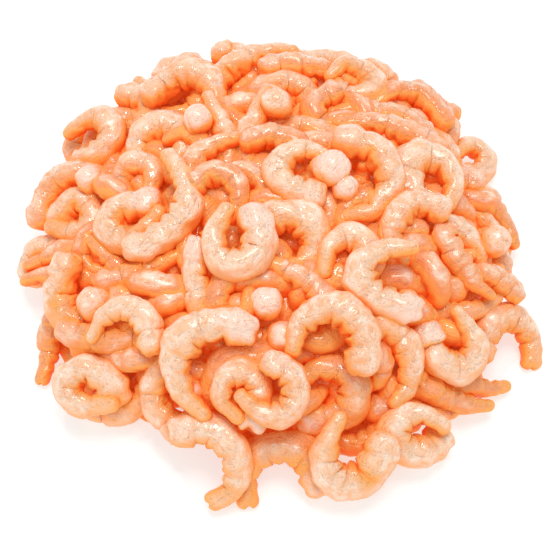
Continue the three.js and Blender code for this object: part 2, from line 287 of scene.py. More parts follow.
def mound(x, y, depth, inset):
    """Height of a core this deep in the heap and this far in from its reach."""
    rho = np.hypot(x, y) / (reach(np.arctan2(y, x)) - inset)
    return (CROWN - depth) * np.maximum(0, 1 - rho * rho) ** PROFILE


def slope(x, y):
    """The way straight up off the heap at a point."""
    e = SLOPE_STEP
    dx = (height(x - e, y) - height(x + e, y)) / (2 * e)
    dy = (height(x, y - e) - height(x, y + e)) / (2 * e)
    n = np.array([dx, dy, 1])
    return n / np.linalg.norm(n)


def girth(s, size):
    """Radius of a shrimp at s, from 0 at the head end to 1 at the tail."""
    taper = smooth((s - TAPER_FROM) / TAPER_RUN)
    broad = GIRTH * (SAME_GIRTH + (1 - SAME_GIRTH) * size)
    return broad * (1 - (1 - TAIL_GIRTH) * taper - TIP_DIP * np.exp(-s / TIP_RUN))


def hook(curl, size):
    """A shrimp's curl in its own plane, about its middle."""
    step = LENGTH * size / FINE
    s = (np.arange(FINE) + 0.5) / FINE
    turn = math.radians(curl) * (s - EASE * np.sin(2 * math.pi * s))
    x = np.concatenate([[0], np.cumsum(np.cos(turn))]) * step
    y = np.concatenate([[0], np.cumsum(np.sin(turn))]) * step
    line = np.stack([x, y], -1)
    line = line - line.mean(0)
    return line[[int(k * FINE / (STATIONS - 1) + 0.5) for k in range(STATIONS)]]


def turned(line, a):
    """A line in a plane, turned by an angle in radians."""
    c = math.cos(a)
    s = math.sin(a)
    return np.stack([line[:, 0] * c - line[:, 1] * s, line[:, 0] * s + line[:, 1] * c], -1)


def place(row):
    """A row's stations in the heap, and the normal of the plane that its shrimp curls in."""
    x, y, head, curl, size, lie, down = row
    up = SIGHT.copy() if lie == END else slope(x, y)
    if lie == FLAT:
        up = up * (1 - LEAN) + SIGHT * LEAN
        up /= np.linalg.norm(up)
    east = np.array([1.0, 0, 0]) - up * up[0]
    east /= np.linalg.norm(east)
    north = np.cross(up, east)
    a = math.radians(head)
    ahead = east * math.cos(a) + north * math.sin(a)
    aside = np.cross(up, ahead)
    origin = np.array([x, y, height(x, y)]) - SIGHT * down * LAYER
    line = hook(curl, size)
    last = STATIONS - 1
    half = last // 2
    if lie == FLAT:
        line = turned(line, -math.atan2(line[0][1], line[0][0]))
        rise = GIRTH * max(0, abs(curl) - CLOSED) / CLIMB
        k = np.arange(STATIONS) / last - 0.5
        spot = origin + line[:, [0]] * ahead + line[:, [1]] * aside + np.outer(rise * k, up)
        return spot, up
    crest = line[half] - (line[0] + line[last]) / 2
    if lie == END:
        crest = line[0] - line[3]
    line = turned(line, -math.atan2(crest[1], crest[0]))
    top = line[:, 0].max()
    side = -1 if line[0][1] < line[last][1] else 1
    shift = line[0][1] if lie == END else 0
    sunk = line[:, 0] - top
    if lie == END:
        sunk = np.maximum(sunk, -DEEPEST)
    spot = origin + np.outer(sunk, up) + np.outer(side * (line[:, 1] - shift), ahead)
    return spot, side * np.cross(up, ahead)


def hand(draw):
    """1 or -1, for a curl to the left or to the right."""
    return -1 if draw() < 0.5 else 1


def far_foot():
    """Rows of seeded shrimps round the foot of the heap's far side."""
    draw = draws(SEED)
    rows = []
    for k in range(FAR_FOOT):
        a = math.radians(FAR_FROM + (FAR_TO - FAR_FROM) * (k + 0.3 + 0.4 * draw()) / FAR_FOOT)
        out = float(reach(a)) - FAR_INSET + 4 * draw()
        curl = hand(draw) * (130 + 130 * draw())
        head = 360 * draw()
        size = 0.95 + 0.25 * draw()
        rows.append([out * math.cos(a), out * math.sin(a), head, curl, size, FLAT, 0.1])
    return rows


def read_off(at, arcs, table):
    """Each column of a table with one row an arc length, read off in between."""
    return np.stack([np.interp(at, arcs, column) for column in table.T], -1)


def close_pairs(spots, radii, owner, moving):
    """Pairs of spots on different shrimps that may touch soon, a moving one first."""
    first = []
    second = []
    for i in range(moving):
        apart = np.linalg.norm(spots[i + 1:] - spots[i], axis=1)
        near = apart < SQUEEZE * (radii[i + 1:] + radii[i]) + NEARBY
        j = np.nonzero(near & (owner[i + 1:] != owner[i]))[0] + i + 1
        first.append(np.full(len(j), i))
        second.append(j)
    return np.concatenate(first), np.concatenate(second)


def settle(rows, depth, inset, fixed=None):
    """Pushes the rows' stations apart and onto the core; fixed is (stations, radii) that stay."""
    planes = [place(r) for r in rows]
    home = np.array([p[0] for p in planes])
    normals = np.array([p[1] for p in planes])
    share = np.arange(STATIONS) / (STATIONS - 1)
    thick = np.array([girth(share, r[4]) for r in rows])
    now = home.copy()
    owner = np.repeat(np.arange(len(rows)), STATIONS)
    radii = thick.ravel()
    still = np.zeros((0, 3))
    if fixed is not None:
        still = fixed[0].reshape(-1, 3)
        radii = np.concatenate([radii, fixed[1].ravel()])
        owner = np.concatenate([owner, np.full(len(still), -1)])
    moving = now.size // 3
    for k in range(ROUNDS):
        spots = np.vstack([now.reshape(-1, 3), still])
        if k % SEARCH_EVERY == 0:
            first, second = close_pairs(spots, radii, owner, moving)
        gap = spots[first] - spots[second]
        apart = np.sqrt((gap ** 2).sum(-1)) + 1e-9
        need = SQUEEZE * (radii[first] + radii[second])
        hit = apart < need
        a = first[hit]
        b = second[hit]
        move = gap[hit] * (PUSH * (need[hit] - apart[hit]) / apart[hit])[:, None]
        n = len(spots)
        push = [np.bincount(a, move[:, c], n) - np.bincount(b, move[:, c], n) for c in range(3)]
        hits = np.bincount(a, minlength=n) + np.bincount(b, minlength=n)
        spots = spots + np.stack(push, -1) / np.maximum(1, hits)[:, None]
        now = spots[:moving].reshape(home.shape)
        offset = (now - home).mean(1, keepdims=True) * HOMING
        now = now + (home + offset - now) * STIFFNESS
        base = mound(now[..., 0], now[..., 1], depth, inset) + BEDDING * thick
        now[..., 2] = np.maximum(np.maximum(now[..., 2] - SINKING, thick), base)
    return now, thick, normals


# Seeded shrimps under the ones that show: how many, how many layers down, core's depth and inset
UNDER_LAYERS = [(96, 0.6, 11.0, 5.0), (60, 1.35, 15.0, 7.0)]
# How far out they start, as a share of the heap's reach, and how far in from it they stay
UNDER_REACH = 0.84
UNDER_EDGE = 6
GOLDEN = math.pi * (3 - math.sqrt(5))


def under_rows(count, down, draw):
    """Rows of seeded shrimps all over the heap, some layers down."""
    rows = []
    for k in range(count):
        angle = k * GOLDEN
        out = UNDER_REACH * math.sqrt((k + 0.5) / count) * float(reach(angle))
        curl = hand(draw) * (110 + 160 * draw())
        lie = FLAT if draw() < 0.85 else EDGE
        head = 360 * draw()
        size = 0.85 + 0.25 * draw()
        lower = down + 0.2 * draw()
        rows.append([out * math.cos(angle), out * math.sin(angle), head, curl, size, lie, lower])
    return rows


# Seeded shrimps on the floor round the foot: how many, how far in from the heap's reach, how
# many layers down, and depth and inset of a core too small to lift them
FOOT_RING = 34
FOOT_INSET = 15.0
FOOT_DOWN = 3.0
FOOT_CORE = (30.0, 30.0)


def foot_rows(draw):
    """Rows of seeded shrimps round the foot of the heap."""
    rows = []
    for k in range(FOOT_RING):
        angle = 2 * math.pi * (k + 0.5 * draw()) / FOOT_RING
        out = float(reach(angle)) - FOOT_INSET - 3 * draw()
        curl = hand(draw) * (100 + 130 * draw())
        head = 360 * draw()
        size = 0.85 + 0.2 * draw()
        y = out * math.sin(angle) + SIGHT[1] * FOOT_DOWN * LAYER
        rows.append([out * math.cos(angle), y, head, curl, size, FLAT, FOOT_DOWN])
    return rows


# Shrimps that show, by group and place in it: pale head ends, split ones, cream flesh,
# orange flesh and forked tails
PALE_HEADS = {"M": (1, 2, 3, 4, 5, 8, 11), "F": (1, 9), "R": (2, 3, 5), "U": (5, 7, 8, 10, 16), "L": (0, 9)}
SPLIT_HEADS = {"M": (2, 11), "L": (19,)}
CREAMY = {
    "M": (0, 1, 2, 3, 4, 5, 17), "F": (0, 2, 3), "R": (2, 3, 5),
    "U": (3, 4, 5, 7, 8, 10), "L": (1, 3, 11, 16, 23, 24), "B": (16,),
}
ORANGE = {
    "M": (6, 9, 10, 13, 14, 16), "F": (4, 5, 6, 7, 10), "R": (1, 9, 10, 11, 15, 16),
    "U": (11, 12, 13, 14, 15), "L": (6, 7, 9, 10, 12, 13, 18, 19, 20, 21, 22, 25, 26),
    "B": (0, 1, 2, 7, 14, 15),
}
FORKED = {"F": (0, 1), "R": (4,), "L": (22,), "B": (0, 2)}

# Where a shrimp's segments meet, as shares of its length, and how unevenly
JOINTS = np.array([0.13, 0.27, 0.41, 0.55, 0.69, 0.84])
JOINT_SPREAD = 0.012
# How straight each segment is, how far its ends are off the line, and how unevenly thick it is
STRAIGHT = 0.35
KINK = 0.45
BULGE = 0.05
WAVES = 12
# Points of the smooth line from one station to the next, and the reach of its direction
STEPS = 10
AHEAD = 0.7
# Rings that round off each end, and how long the ends are, as shares of the girth there
HEAD_RINGS = 7
TAIL_RINGS = 5
HEAD_LONG = 0.8
BALL_LONG = 0.95
TAIL_LONG = 1.1

# The section, as shares of the girth: fuller along the back, flatter at the belly and sides
FULL = 1.1
BACK_FULL = 0.04
BELLY_FLAT = 0.05
SIDE_FLAT = 0.07
# Grooves where two segments meet: how long, how deep all round and how deep along the belly
GROOVE_RUN = 0.021
GROOVE = 0.012
BELLY_GROOVE = 0.14
# How much a segment swells between its ends, all round and along the belly more
SWELL = 0.07
BELLY_SWELL = 0.05
SWELL_LEVEL = 0.7
# A swollen neck and the waist behind it: how much, where along the body and how long
NECK = (0.07, 0.05, 0.07)
WAIST = (0.05, 0.16, 0.04)
# The same on a shrimp that is seen end on
BALL_NECK = (0.16, 0, 0.1)
BALL_WAIST = (0.16, 0.2, 0.08)
# Lumps: how high, their wavelengths in mm and the first of their waves
LUMPS = [(0.07, (19, 14, 11), 0), (0.1, (8, 6.5, 5), 3), (0.07, (3.9, 3.1, 2.5), 6)]
BELLY_FOLDS = (0.2, (5.2, 4.1, 3.3), 5)
# How far from an end the segments' forms fade out, and how far an end's own form reaches
BODY_FADE = 2.5
LOBE_REACH = 2.2
SPLIT_REACH = 1.2
FORK_REACH = 1.6
# How deep a head end's lobes and splits are, how wide a fork flares, and how it spreads
LOBE = 0.35
SPLIT = 2.4
FORK_WIDTH = 0.6
FORK_LONG = 0.9
FORK_SPREAD = 0.25
# How far every point stays off the floor
OFF_FLOOR = 0.05
# Lines between two segments: how far they sway round the body, once and twice, and how broad
SEAM_SWAY = (0.012, 0.008)
SEAM_RUN = 0.016


def listed_in(table, name):
    return name[1] in table.get(name[0], ())


class Shrimp:
    """One shrimp: its line through the heap, its girth and what is odd about it."""

    def __init__(self, row, stations, normal, name, number):
        self.curl = row[3]
        self.size = row[4]
        self.ball = row[5] == END
        self.normal = normal
        rng = np.random.default_rng(number)
        self.tint = 0.3 + 0.7 * rng.random()
        self.seed = rng.random(3) * 40
        self.phases = rng.random(WAVES) * 2 * math.pi
        self.waves = rng.normal(size=(WAVES, 3))
        self.waves /= np.linalg.norm(self.waves, axis=1)[:, None]
        self.corners = rng.choice([3, 4, 5])
        self.star = 0.03 + 0.1 * rng.random() ** 2
        if self.ball:
            self.star = 0.02
        self.pale = 0.3 * rng.random()
        self.fork = 0.0
        self.bulge = rng.normal(size=len(JOINTS) + 1) * BULGE
        self.kink = rng.normal(size=(len(JOINTS) + 2, 3)) * KINK
        if name:
            self.tint = 0.4 + 0.25 * rng.random()
            if listed_in(CREAMY, name):
                self.tint = 0.3 * rng.random()
            if listed_in(ORANGE, name):
                self.tint = 0.8 + 0.2 * rng.random()
            if listed_in(PALE_HEADS, name):
                self.pale = 1.0
            if listed_in(SPLIT_HEADS, name):
                self.star = 0.3
            if listed_in(FORKED, name):
                self.fork = 0.4
        self.joints = JOINTS + rng.normal(size=len(JOINTS)) * JOINT_SPREAD
        self.notch = 0.7 + 0.6 * rng.random()
        self.trace(stations)

    def trace(self, stations):
        """A smooth line through the stations, straighter along each segment."""
        p = stations.copy()
        p[1:-1] = 0.5 * p[1:-1] + 0.25 * (p[:-2] + p[2:])
        ends = np.vstack([2 * p[0] - p[1], p, 2 * p[-1] - p[-2]])
        t = np.linspace(0, len(p) - 1, STEPS * (len(p) - 1) + 1)
        i = np.minimum(t.astype(int), len(p) - 2)
        f = (t - i)[:, None]
        a, b, c, d = ends[i], ends[i + 1], ends[i + 2], ends[i + 3]
        self.line = 0.5 * (2 * b + (c - a) * f + (2 * a - 5 * b + 4 * c - d) * f ** 2
                           + (3 * b - a - 3 * c + d) * f ** 3)
        self.measure()
        corners = np.concatenate([[0], self.joints, [1]]) * self.long
        chord = read_off(self.arc, corners, self.on_line(corners))
        self.line = self.line + STRAIGHT * (chord - self.line)
        self.line = self.line + read_off(self.arc, corners, self.kink)
        self.measure()

    def measure(self):
        """The arc length at each point of the line, and the line's whole length."""
        steps = np.linalg.norm(np.diff(self.line, axis=0), axis=1)
        self.arc = np.concatenate([[0], np.cumsum(steps)])
        self.long = self.arc[-1]

    def on_line(self, arcs):
        return read_off(arcs, self.arc, self.line)

    def at(self, arcs):
        """Points and directions of the line, running straight on past both ends."""
        inside = np.clip(arcs, 0, self.long)
        spot = self.on_line(inside)
        before = self.on_line(np.clip(inside - AHEAD, 0, self.long))
        after = self.on_line(np.clip(inside + AHEAD, 0, self.long))
        way = after - before
        way /= np.linalg.norm(way, axis=1)[:, None]
        return spot + way * (arcs - inside)[:, None], way

    def lumps(self, points, lengths, first):
        """Smooth uneven swelling about zero, at each point."""
        total = np.zeros(points.shape[:-1])
        for k, wavelength in enumerate(lengths):
            j = (first + k) % WAVES
            total += np.sin(points @ self.waves[j] * (2 * math.pi / wavelength) + self.phases[j])
        return total / len(lengths)

    def rings(self, along):
        """Arc lengths of the rings, their share of the full girth, and how long both ends are."""
        blunt = (BALL_LONG if self.ball else HEAD_LONG) * girth(0.0, self.size)
        point = TAIL_LONG * girth(1.0, self.size)
        a = np.linspace(0.14, 1, HEAD_RINGS, endpoint=False) * math.pi / 2
        head_share = np.sin(a) ** (1.0 if self.ball else 0.8)
        b = np.linspace(0, 0.86, TAIL_RINGS + 1)[1:] * math.pi / 2
        tail_share = np.cos(b) ** 0.8
        middle = np.linspace(0, self.long, along)
        arcs = np.concatenate([-blunt * np.cos(a), middle, self.long + point * np.sin(b)])
        share = np.concatenate([head_share, np.ones(along), tail_share])
        return arcs, share, blunt, point

    def segments(self, s):
        """How near a joint each ring is, how it swells between two, and its segment's bulge."""
        groove = hump(s[:, None], self.joints, GROOVE_RUN).max(1)[:, None]
        edges = np.concatenate([[0], self.joints, [1]])
        part = np.searchsorted(edges, s, side="right") - 1
        part = np.clip(part, 0, len(edges) - 2)
        within = (s - edges[part]) / (edges[part + 1] - edges[part])
        swell = (np.sin(math.pi * np.clip(within, 0, 1)) ** 0.6)[:, None]
        bulge = np.interp(s, 0.5 * (edges[1:] + edges[:-1]), self.bulge)[:, None]
        return groove, swell, bulge

    def form(self, arcs, s, wide, c, d):
        """Girth at each point as a share of the plain tube's; c and d point to back and side."""
        groove, swell, bulge = self.segments(s)
        belly = np.maximum(0, -c)
        from_head = np.clip(arcs / BODY_FADE, 0, 1)[:, None]
        body = from_head * np.clip((self.long - arcs) / BODY_FADE, 0, 1)[:, None]
        form = 1 + BACK_FULL * c - BELLY_FLAT * belly ** 2 - SIDE_FLAT * d ** 2
        form = form - body * groove * self.notch * (GROOVE + BELLY_GROOVE * belly ** 2)
        form = form + body * (SWELL + BELLY_SWELL * belly) * (swell - SWELL_LEVEL)
        form = form + bulge
        form = form + NECK[0] * hump(s, *NECK[1:])[:, None] - WAIST[0] * hump(s, *WAIST[1:])[:, None]
        straight = np.stack([arcs[:, None] + 0 * c, wide * c, wide * d], -1) + self.seed
        for high, lengths, first in LUMPS:
            form = form + high * self.lumps(straight, lengths, first)
        deep, lengths, first = BELLY_FOLDS
        return form - deep * belly ** 3 * np.abs(self.lumps(straight, lengths, first))

    def skin(self, along, around):
        """Grid of points, both end points, and each ring's arc, place along and share of girth."""
        arcs, share, blunt, point = self.rings(along)
        spot, way = self.at(arcs)
        side = np.cross(self.normal, way)
        side /= np.linalg.norm(side, axis=1)[:, None]
        rise = np.cross(way, side)
        back = side * (-1 if self.curl > 0 else 1)
        s = np.clip(arcs / self.long, 0, 1)
        phi = np.arange(around) * 2 * math.pi / around
        c = np.cos(phi)[None, :]
        d = np.sin(phi)[None, :]
        full = girth(s, self.size)[:, None] * (FULL + FORK_WIDTH * self.fork * smooth(s * 2 - 1)[:, None])
        if self.ball:
            swollen = BALL_NECK[0] * hump(s, *BALL_NECK[1:])
            full = full * (1 + swollen - BALL_WAIST[0] * hump(s, *BALL_WAIST[1:]))[:, None]
        wide = full * share[:, None]
        form = self.form(arcs, s, wide, c, d)
        lobes = np.cos(self.corners * phi + self.phases[9])[None, :]
        form = form + fading(arcs, LOBE_REACH) * self.star * LOBE * lobes
        outward = (wide * form)[..., None]
        grid = spot[:, None] + outward * (back[:, None] * c[..., None] + rise[:, None] * d[..., None])
        pull = fading(arcs, SPLIT_REACH) * self.star * SPLIT * (0.5 + 0.5 * lobes) ** 1.5
        pull = pull * share[:, None] * girth(0.0, self.size)
        grid = grid - way[:, None] * pull[..., None]
        flare = fading(self.long - arcs, FORK_REACH) * self.fork * np.abs(c) ** 1.5 * girth(1.0, self.size)
        grid = grid + way[:, None] * (FORK_LONG * flare)[..., None]
        grid = grid + back[:, None] * np.sign(c)[..., None] * (FORK_SPREAD * flare)[..., None]
        grid[..., 2] = np.maximum(grid[..., 2], OFF_FLOOR)
        tip_in = blunt * (1 - 1.1 * self.star)
        head_tip = spot[0] - way[0] * (arcs[0] + tip_in)
        tail_tip = spot[-1] + way[-1] * (self.long + point * (1 - self.fork) - arcs[-1])
        for tip in (head_tip, tail_tip):
            tip[2] = max(tip[2], OFF_FLOOR)
        return grid, head_tip, tail_tip, arcs, s, share

    def seams(self, s, around):
        """How near each point is to a line between two parts of the body."""
        phi = np.arange(around) * 2 * math.pi / around
        once, twice = SEAM_SWAY
        sway = once * np.sin(phi + self.phases[10]) + twice * np.sin(2 * phi + self.phases[11])
        at = s[:, None] + sway[None]
        return hump(at[..., None], self.joints, SEAM_RUN).max(-1)


def bent(grid, head_tip, tail_tip):
    """Outward normals of a skin's grid."""
    run = np.vstack([head_tip[None, None] + 0 * grid[:1], grid, tail_tip[None, None] + 0 * grid[:1]])
    along = run[2:] - run[:-2]
    around = np.roll(grid, -1, axis=1) - np.roll(grid, 1, axis=1)
    n = np.cross(around, along)
    n /= np.linalg.norm(n, axis=-1)[..., None] + 1e-12
    middle = grid.mean(1, keepdims=True)
    flip = np.sign(((grid - middle) * n).sum(-1).mean())
    return n * flip


def faces_inward(grid):
    """True if the grid's quads would face inwards."""
    ring, after = grid[len(grid) // 2:][:2]
    n = np.cross(np.roll(ring, -1, axis=0) - ring, after - ring)
    return float((n * (ring - ring.mean(0))).sum()) < 0


def faces_of(rings, around, start, flip):
    """Quads of a ring grid whose vertices begin at start, and the fans that close its ends."""
    i = np.arange(rings - 1)[:, None] * around
    j = np.arange(around)
    nxt = (j + 1) % around
    quads = np.stack([i + j, i + nxt, i + around + nxt, i + around + j], -1).reshape(-1, 4) + start
    head = start + rings * around
    last = start + (rings - 1) * around
    fans = np.concatenate([
        np.stack([np.full(around, head), start + nxt, start + j], -1),
        np.stack([np.full(around, head + 1), last + j, last + nxt], -1),
    ])
    if flip:
        quads = quads[:, ::-1]
        fans = fans[:, ::-1]
    return quads, fans


# Rings and sides of a shrimp that rays are cast at, and of the grid that they start from
TREE_DETAIL = (18, 9)
SHADE_DETAIL = (9, 9)


def coarse_tree(shrimps, core_points, core_faces):
    """A ray tree of every shrimp at low detail and the core."""
    points = []
    faces = []
    for shrimp in shrimps:
        grid, head_tip, tail_tip, _, _, _ = shrimp.skin(*TREE_DETAIL)
        start = len(points)
        rings, around, _ = grid.shape
        points.extend(np.vstack([grid.reshape(-1, 3), head_tip, tail_tip]).tolist())
        quads, fans = faces_of(rings, around, start, False)
        faces.extend(quads.tolist())
        faces.extend(fans.tolist())
    start = len(points)
    points.extend(core_points.tolist())
    faces.extend([[v + start for v in face] for face in core_faces])
    return BVHTree.FromPolygons(points, faces, all_triangles=False)


# How many rays a point casts, how far they see, how far off the skin they start, and how much
# they lean to the sky; the share of rays that hits something is painted into the flesh as shade
RAYS = 16
FAR_SIGHT = 32.0
LIFT = 0.35
SKYWARD = 0.35
SKY = np.array([0, 0, 1.0])
ASKEW = [0.3, 0.9, 0.1]


def sky_rays(count):
    """Evenly spread directions over the hemisphere about +Z, weighted to its pole."""
    k = np.arange(count) + 0.5
    up = np.sqrt(1 - k / count)
    flat = np.sqrt(k / count)
    a = np.arange(count) * GOLDEN
    return np.stack([flat * np.cos(a), flat * np.sin(a), up], -1)


def shading(shrimp, tree, rays):
    """How much of the sky the skin is hidden from, painted as shade, on a coarse grid, and that grid's arc
    lengths.
    """
    grid, head_tip, tail_tip, arcs, _, _ = shrimp.skin(*SHADE_DETAIL)
    normals = bent(grid, head_tip, tail_tip)
    occlusion_shade = np.zeros(grid.shape[:2])
    for i, j in np.ndindex(occlusion_shade.shape):
        n = normals[i, j] + SKYWARD * SKY
        n /= np.linalg.norm(n) + 1e-9
        east = np.cross(n, ASKEW)
        east /= np.linalg.norm(east)
        north = np.cross(n, east)
        ways = rays[:, [0]] * east + rays[:, [1]] * north + rays[:, [2]] * n
        start = Vector(grid[i, j] + normals[i, j] * LIFT)
        hits = sum(tree.ray_cast(start, Vector(way), FAR_SIGHT)[3] is not None for way in ways)
        occlusion_shade[i, j] = hits / len(ways)
    return arcs, occlusion_shade


def spread(arcs, values, new_arcs, around):
    """Coarse grid values at a finer grid's rings and sides."""
    coarse = values.shape[1]
    rows = read_off(new_arcs, arcs, values)
    at = np.arange(around) * coarse / around
    lo = np.floor(at).astype(int)
    f = smooth(at - lo)
    return rows[:, lo % coarse] * (1 - f) + rows[:, (lo + 1) % coarse] * f


# How far a pale head end reaches, and from where and over what share the tail's tint comes in
PALE_REACH = 6.5
TAIL_TINT_FROM = 0.62
TAIL_TINT_RUN = 0.36


class Batch:
    """Vertices, faces and paint of the shrimps that make one piece."""

    def __init__(self):
        self.points = []
        self.quads = []
        self.fans = []
        self.paint = []
        self.form = []
        self.flow = []
        self.count = 0

    def add(self, shrimp, along, around, tree, rays):
        """Adds a shrimp's skin, with what its material reads at each point."""
        grid, head_tip, tail_tip, arcs, s, share = shrimp.skin(along, around)
        rings = len(arcs)
        # The occlusion of the sky, which the flesh material paints as shade
        coarse_arcs, occlusion_shade = shading(shrimp, tree, rays)
        occlusion_shade = spread(coarse_arcs, occlusion_shade, arcs, around)
        phi = np.arange(around) * 2 * math.pi / around
        back = np.cos(phi) * 0.5 + 0.5
        head = shrimp.pale * pale_share(arcs)[:, None]
        tail = smooth((s - TAIL_TINT_FROM) / TAIL_TINT_RUN)[:, None]
        wide = (girth(s, shrimp.size) * share)[:, None]
        flow = [arcs[:, None], wide * np.cos(phi), wide * np.sin(phi)]
        normals = bent(grid, head_tip, tail_tip)
        # How far the skin turns from facing up, which the flesh material paints as shade and glow on its
        # sides
        aside = 1 - np.clip(normals[..., 2], 0, 1)
        seam = shrimp.seams(s, around)
        quads, fans = faces_of(rings, around, self.count, faces_inward(grid))
        self.points.append(np.vstack([grid.reshape(-1, 3), head_tip, tail_tip]))
        self.quads.append(quads)
        self.fans.append(fans)
        self.paint.append(listed(occlusion_shade, aside, back, shrimp.tint))
        self.form.append(listed(head, tail, seam))
        self.flow.append(listed(*flow, shift=shrimp.seed))
        self.count += rings * around + 2

    def mesh(self, name, material):
        """Makes the piece, with paint, form and flow as attributes of its points."""
        faces = np.concatenate(self.quads).tolist() + np.concatenate(self.fans).tolist()
        data = smooth_mesh(name, np.concatenate(self.points), faces, material)
        for label, values in (("form", self.form), ("flow", self.flow)):
            layer = data.attributes.new(label, "FLOAT_VECTOR", "POINT")
            layer.data.foreach_set("vector", np.concatenate(values).astype(np.float32).ravel())
        layer = data.attributes.new("paint", "FLOAT_COLOR", "POINT")
        layer.data.foreach_set("color", np.concatenate(self.paint).astype(np.float32).ravel())
        data.update()
        heap_piece(name, data)


def pale_share(arcs):
    """How near a ring is to the head end, for the pale flesh there."""
    return np.exp(-(np.clip(arcs, 0, None) / PALE_REACH) ** 2)


def listed(*layers, shift=0.0):
    """Grid values as one list, then the first and last rings' means for the end points."""
    values = np.stack(np.broadcast_arrays(*layers), -1) + shift
    return np.vstack([values.reshape(-1, len(layers)), values[0].mean(0), values[-1].mean(0)])


def smooth_mesh(name, points, faces, material):
    """A smooth-shaded mesh from points in mm."""
    data = bpy.data.meshes.new(name)
    data.from_pydata((points * MM).tolist(), [], faces)
    data.polygons.foreach_set("use_smooth", np.ones(len(faces), bool))
    data.materials.append(material)
    return data


def linked(name, data):
    """A new object in the scene."""
    thing = bpy.data.objects.new(name, data)
    bpy.context.collection.objects.link(thing)
    return thing


def heap_piece(name, data):
    """A new object that rides on the body and stands for the heap's node."""
    piece = linked(name, data)
    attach(piece, "root")
    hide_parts(NODE)


def linear(r, g, b):
    """A colour as seen on screen, 0 to 255, in linear light."""
    out = []
    for v in (r, g, b):
        v = v / 255
        out.append(v / 12.92 if v <= 0.04045 else ((v + 0.055) / 1.055) ** 2.4)
    return (*out, 1.0)


class Paint:
    """Short calls that build a material's nodes."""

    def __init__(self, name):
        self.material = bpy.data.materials.new(name)
        self.material.use_nodes = True
        self.tree = self.material.node_tree
        self.tree.nodes.clear()
        self.out = self.tree.nodes.new("ShaderNodeOutputMaterial")

    def feed(self, socket, value):
        if isinstance(value, bpy.types.NodeSocket):
            self.tree.links.new(value, socket)
        else:
            socket.default_value = value

    def node(self, kind, sockets, **settings):
        """A node with these sockets fed by other sockets or by plain values."""
        node = self.tree.nodes.new(kind)
        for key, value in settings.items():
            setattr(node, key, value)
        for key, value in sockets.items():
            self.feed(node.inputs[key], value)
        return node

    def finished(self, sockets):
        """The material, with one shader."""
        shader = self.node("ShaderNodeBsdfPrincipled", sockets)
        self.feed(self.out.inputs["Surface"], shader.outputs[0])
        return self.material

    def math(self, operation, a, b):
        return self.node("ShaderNodeMath", {0: a, 1: b}, operation=operation).outputs[0]

    def times(self, a, b):
        return self.math("MULTIPLY", a, b)

    def total(self, *terms):
        whole = terms[0]
        for term in terms[1:]:
            whole = self.math("ADD", whole, term)
        return whole

    def ramp(self, value, low, high, start=0.0, end=1.0):
        """Goes smoothly from start to end while the value goes from low to high."""
        ends = {"Value": value, "From Min": low, "From Max": high, "To Min": start, "To Max": end}
        return self.node("ShaderNodeMapRange", ends, interpolation_type="SMOOTHSTEP").outputs["Result"]

    def mix(self, share, a, b):
        """Colour a with a share of colour b over it."""
        return self.node("ShaderNodeMix", {0: share, 6: a, 7: b}, data_type="RGBA").outputs[2]

    def noise(self, vector, scale, detail=2.0, rough=0.5, output="Fac"):
        sockets = {"Vector": vector, "Scale": scale, "Detail": detail, "Roughness": rough}
        return self.node("ShaderNodeTexNoise", sockets).outputs[output]

    def attribute(self, name, output):
        return self.node("ShaderNodeAttribute", {}, attribute_name=name).outputs[output]

    def split(self, kind, value):
        return self.node(kind, {0: value}).outputs

    def vector(self, operation, a, *more):
        sockets = dict(enumerate((a, *more)))
        return self.node("ShaderNodeVectorMath", sockets, operation=operation).outputs[0]

    def moved(self, vector, by):
        """The vector somewhere else in a texture."""
        return self.vector("ADD", vector, (by, by, by))

    def stretched(self, vector, *factors):
        """The vector in a texture drawn out along the axes with small factors."""
        return self.vector("MULTIPLY", vector, factors)

    def veins(self, vector, scale):
        """A net of thin wandering lines, 1 on a line."""
        wander = self.noise(vector, scale * 2.2, output="Color")
        push = self.vector("MULTIPLY_ADD", wander, (2.6, 2.6, 2.6), vector)
        sockets = {"Vector": push, "Scale": scale}
        cells = self.node("ShaderNodeTexVoronoi", sockets, feature="DISTANCE_TO_EDGE")
        return self.ramp(cells.outputs["Distance"], 0.055, 0.0)

    def dots(self, vector, scale, size):
        """Scattered small spots, faint at their rims."""
        cells = self.node("ShaderNodeTexVoronoi", {"Vector": vector, "Scale": scale}, feature="F1")
        pick = self.split("ShaderNodeSeparateColor", cells.outputs["Color"])
        chosen = self.math("GREATER_THAN", pick[0], 0.45)
        spot = self.ramp(cells.outputs["Distance"], size * 1.5, size * 0.4, 0.0, 0.42)
        return self.times(chosen, spot)


CREAM = linear(248, 206, 172)
PEACH = linear(250, 186, 134)
ROSE = linear(250, 168, 136)
HEAD_WHITE = linear(252, 220, 202)
AMBER = linear(251, 174, 90)
CORAL = linear(252, 138, 60)
# The deepest orange is painted shade, for the flesh's gaps and for the core
DEEP_SHADE = linear(240, 84, 16)
FLECK = linear(216, 140, 88)
# The milky white is partly the real flesh's colour and partly a painted highlight
MILK_AND_SHEEN = linear(252, 230, 210)
VEIN = linear(244, 150, 84)
EMBER = linear(222, 116, 62)

# Painted glow, an emission that stands in for light through the flesh: its colour, and its strength
# where the painted shade is deep and on its sides
PAINTED_GLOW = linear(255, 112, 36)
PAINTED_GLOW_STRENGTH = 0.12
RIM_GLOW_STRENGTH = 0.085

# What makes flesh warmer: painted shade where neighbours close by hide the sky and where its sides turn
# away from it, and the real warmer tone of the tail, the belly and patches
OCCLUSION_SHADE_SHARE = 0.68
ASIDE_SHADE_SHARE = 0.45
TAIL_SHARE = 0.22
BELLY_SHARE = 0.34
PATCH_SHARE = 0.45

# Noise in waves to the mm
PATCH_NOISE = 0.16
MOTTLE_NOISE = 0.42
PINK_NOISE = 0.3
GRAIN_NOISE = 1.6
CREASE_NOISE = 0.8
FIBRE_NOISE = 1.3
VEIN_NET = 0.27
# Height of the relief in metres
RELIEF = 0.0014


